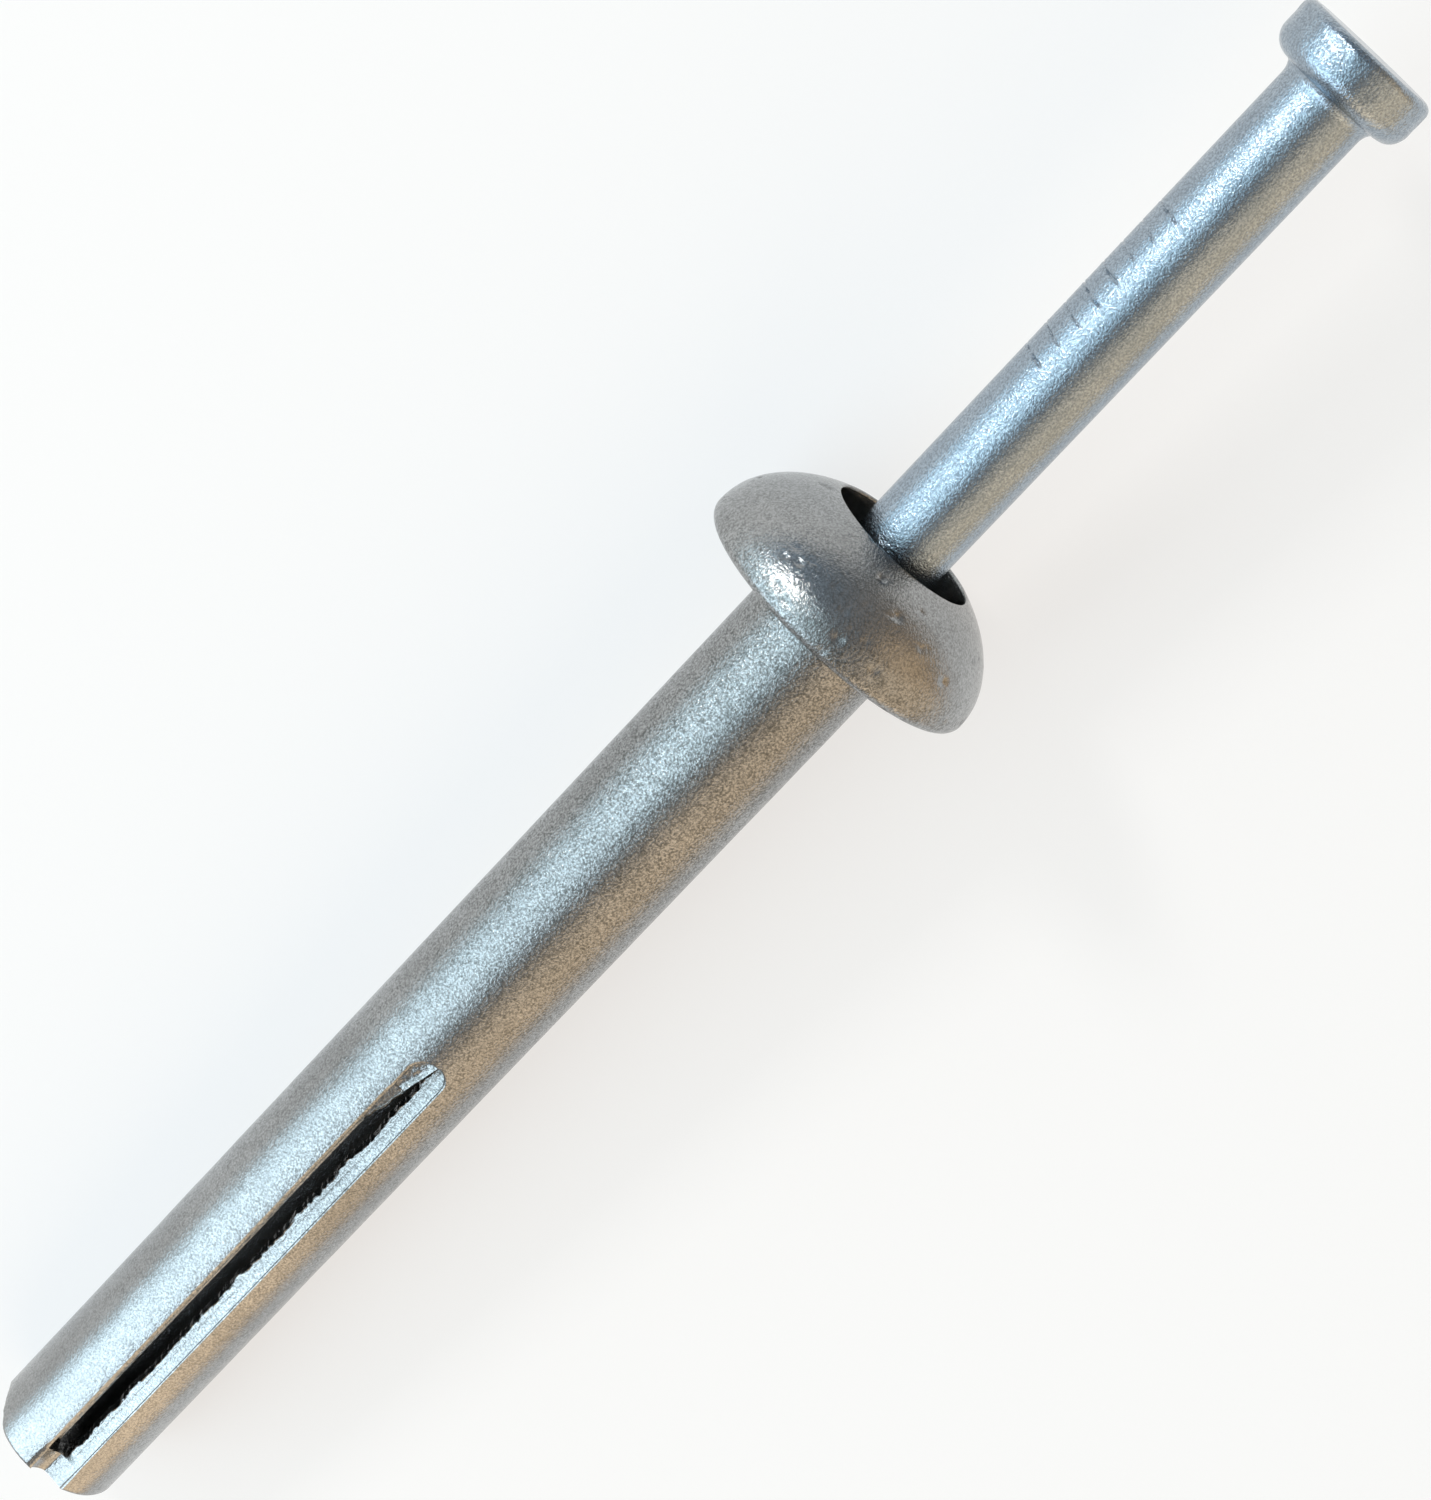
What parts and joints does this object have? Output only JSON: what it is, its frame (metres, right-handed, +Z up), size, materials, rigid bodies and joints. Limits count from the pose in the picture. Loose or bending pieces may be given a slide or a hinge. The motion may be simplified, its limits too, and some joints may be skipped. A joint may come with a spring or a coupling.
{
  "type": "hammer drive anchor",
  "caption": "Slotted cast anchor with a domed mushroom head and a flat-headed drive pin standing out of it, hammered down the bore to wedge the legs apart in a drilled hole.",
  "frame": {"origin": "centre of the mushroom head's bearing face, on the anchor's axis", "axes": "+X along the anchor from its slotted tip to its heads, rising 3.98 degrees out of the table's plane because the anchor lies on its rim and tip; +Z up, through the middle of the upper groove"},
  "size_m": [0.081, 0.0132, 0.0131],
  "materials": {
    "cast_zinc": "satin",
    "plated_steel": "gloss"
  },
  "bodies": {
    "anchor_body": {"anchor_body": "cast_zinc"},
    "drive_pin": {"drive_pin": "plated_steel"}
  },
  "joints": [
    {"name": "pin_drive", "type": "slide", "parent": "anchor_body", "child": "drive_pin", "axis": [-0.9976, 0, -0.0693], "range_m": [0, 0.0257]}
  ]
}
